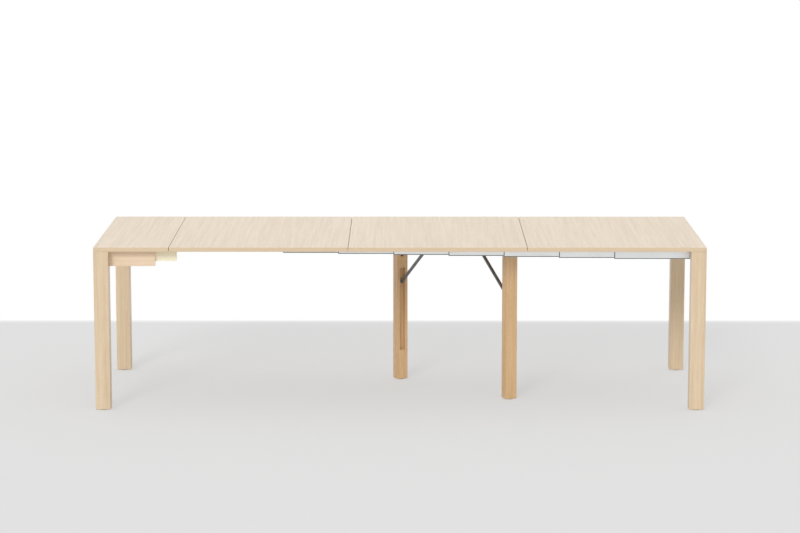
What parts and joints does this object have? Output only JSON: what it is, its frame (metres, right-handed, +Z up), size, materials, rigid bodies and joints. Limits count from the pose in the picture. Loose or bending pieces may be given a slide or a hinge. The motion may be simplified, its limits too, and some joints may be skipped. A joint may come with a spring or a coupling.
{
  "type": "extendable console table",
  "caption": "Wooden console table that draws out to a dining table on telescopic metal rails, with loose leaves, square end legs and slimmer folding legs under the middle.",
  "frame": {"origin": "on the floor, under the middle of the drawn-out top", "axes": "+X along the length, away from the console end; +Y from the front to the rear; +Z up"},
  "size_m": [2.77, 1, 0.75],
  "materials": {
    "oak": "matt lacquered pale oak",
    "plain_wood": "plain sanded wood",
    "rail_aluminium": "satin",
    "dark_steel": "dark grey paint",
    "bright_steel": "zinc plated",
    "glide_plastic": "moulded"
  },
  "bodies": {
    "console_end": {"console_top": "oak", "leg_front_left": "oak", "leg_rear_left": "oak", "apron_front": "oak", "apron_rear": "oak", "apron_end": "oak", "sleeve_front": "plain_wood", "sleeve_rear": "plain_wood", "guide_front": "plain_wood", "guide_rear": "plain_wood", "leg_dowels_left": "plain_wood", "glides_left": "glide_plastic"},
    "stage_10": {"rail_front_10": "rail_aluminium", "rail_rear_10": "rail_aluminium"},
    "stage_9": {"rail_front_9": "rail_aluminium", "rail_rear_9": "rail_aluminium"},
    "stage_8": {"rail_front_8": "rail_aluminium", "rail_rear_8": "rail_aluminium"},
    "stage_7": {"rail_front_7": "rail_aluminium", "rail_rear_7": "rail_aluminium"},
    "stage_6": {"rail_front_6": "rail_aluminium", "rail_rear_6": "rail_aluminium"},
    "stage_5": {"rail_front_5": "rail_aluminium", "rail_rear_5": "rail_aluminium", "cross_beam_a": "plain_wood", "leg_tongue_a": "dark_steel", "brace_catch_a": "dark_steel"},
    "stage_4": {"rail_front_4": "rail_aluminium", "rail_rear_4": "rail_aluminium", "cross_beam_b": "plain_wood", "leg_tongue_b": "dark_steel", "brace_catch_b": "dark_steel"},
    "stage_3": {"rail_front_3": "rail_aluminium", "rail_rear_3": "rail_aluminium"},
    "stage_2": {"rail_front_2": "rail_aluminium", "rail_rear_2": "rail_aluminium"},
    "far_end": {"rail_front_1": "rail_aluminium", "rail_rear_1": "rail_aluminium", "end_rail": "oak", "leg_front_right": "oak", "leg_rear_right": "oak", "rail_brackets": "bright_steel", "leg_dowels_right": "plain_wood", "glides_right": "glide_plastic"},
    "loose_leaf_1": {"leaf_1": "oak", "leaf_1_blocks": "plain_wood"},
    "loose_leaf_2": {"leaf_2": "oak", "leaf_2_blocks": "plain_wood"},
    "loose_leaf_3": {"leaf_3": "oak", "leaf_3_blocks": "plain_wood"},
    "middle_leg_a": {"mid_leg_a": "oak", "pins_a": "bright_steel", "mid_glide_a": "glide_plastic"},
    "folding_brace_a": {"brace_a": "dark_steel"},
    "middle_leg_b": {"mid_leg_b": "oak", "pins_b": "bright_steel", "mid_glide_b": "glide_plastic"},
    "folding_brace_b": {"brace_b": "dark_steel"}
  },
  "joints": [
    {"name": "stage_10_slide", "type": "slide", "parent": "console_end", "child": "stage_10", "axis": [-1, 0, 0], "range_m": [0, 0.074]},
    {"name": "stage_9_slide", "type": "slide", "parent": "console_end", "child": "stage_9", "axis": [-1, 0, 0], "range_m": [0, 0.325]},
    {"name": "stage_8_slide", "type": "slide", "parent": "console_end", "child": "stage_8", "axis": [-1, 0, 0], "range_m": [0, 0.576]},
    {"name": "stage_7_slide", "type": "slide", "parent": "console_end", "child": "stage_7", "axis": [-1, 0, 0], "range_m": [0, 0.827]},
    {"name": "stage_6_slide", "type": "slide", "parent": "console_end", "child": "stage_6", "axis": [-1, 0, 0], "range_m": [0, 1.078]},
    {"name": "stage_5_slide", "type": "slide", "parent": "console_end", "child": "stage_5", "axis": [-1, 0, 0], "range_m": [0, 1.329]},
    {"name": "stage_4_slide", "type": "slide", "parent": "console_end", "child": "stage_4", "axis": [-1, 0, 0], "range_m": [0, 1.58]},
    {"name": "stage_3_slide", "type": "slide", "parent": "console_end", "child": "stage_3", "axis": [-1, 0, 0], "range_m": [0, 1.831]},
    {"name": "stage_2_slide", "type": "slide", "parent": "console_end", "child": "stage_2", "axis": [-1, 0, 0], "range_m": [0, 2.082]},
    {"name": "far_end_slide", "type": "slide", "parent": "console_end", "child": "far_end", "axis": [-1, 0, 0], "range_m": [0, 2.333]},
    {"name": "leaf_1_lift", "type": "slide", "parent": "console_end", "child": "loose_leaf_1", "axis": [0, 0, 1], "range_m": [0, 0.35]},
    {"name": "leaf_2_lift", "type": "slide", "parent": "console_end", "child": "loose_leaf_2", "axis": [0, 0, 1], "range_m": [0, 0.35]},
    {"name": "leaf_3_lift", "type": "slide", "parent": "console_end", "child": "loose_leaf_3", "axis": [0, 0, 1], "range_m": [0, 0.35]},
    {"name": "leg_a_fold", "type": "hinge", "parent": "stage_5", "child": "middle_leg_a", "pos_m": [0.0015, 0.236, 0.614], "axis": [-0.9272, -0.3746, 0], "range_deg": [0, 90]},
    {"name": "brace_a_fold", "type": "hinge", "parent": "middle_leg_a", "child": "folding_brace_a", "pos_m": [0.00796, 0.22001, 0.475], "axis": [0.9272, 0.3746, 0], "range_deg": [0, 123.1]},
    {"name": "leg_b_fold", "type": "hinge", "parent": "stage_4", "child": "middle_leg_b", "pos_m": [0.507, -0.236, 0.614], "axis": [0.9272, 0.3746, 0], "range_deg": [0, 90]},
    {"name": "brace_b_fold", "type": "hinge", "parent": "middle_leg_b", "child": "folding_brace_b", "pos_m": [0.50054, -0.22001, 0.475], "axis": [-0.9272, -0.3746, 0], "range_deg": [0, 118.4]}
  ],
  "couplings": [
    {"joint": "stage_10_slide", "follows": "far_end_slide", "ratio": 0.031718},
    {"joint": "stage_9_slide", "follows": "far_end_slide", "ratio": 0.13931},
    {"joint": "stage_8_slide", "follows": "far_end_slide", "ratio": 0.24689},
    {"joint": "stage_7_slide", "follows": "far_end_slide", "ratio": 0.35448},
    {"joint": "stage_6_slide", "follows": "far_end_slide", "ratio": 0.46207},
    {"joint": "stage_5_slide", "follows": "far_end_slide", "ratio": 0.56965},
    {"joint": "stage_4_slide", "follows": "far_end_slide", "ratio": 0.67724},
    {"joint": "stage_3_slide", "follows": "far_end_slide", "ratio": 0.78483},
    {"joint": "stage_2_slide", "follows": "far_end_slide", "ratio": 0.89241},
    {"joint": "leaf_1_lift", "follows": "far_end_slide", "ratio": 0.15},
    {"joint": "leaf_2_lift", "follows": "far_end_slide", "ratio": 0.15},
    {"joint": "leaf_3_lift", "follows": "far_end_slide", "ratio": 0.15},
    {"joint": "brace_a_fold", "follows": "leg_a_fold", "ratio": 1.3677},
    {"joint": "brace_b_fold", "follows": "leg_b_fold", "ratio": 1.3155}
  ]
}
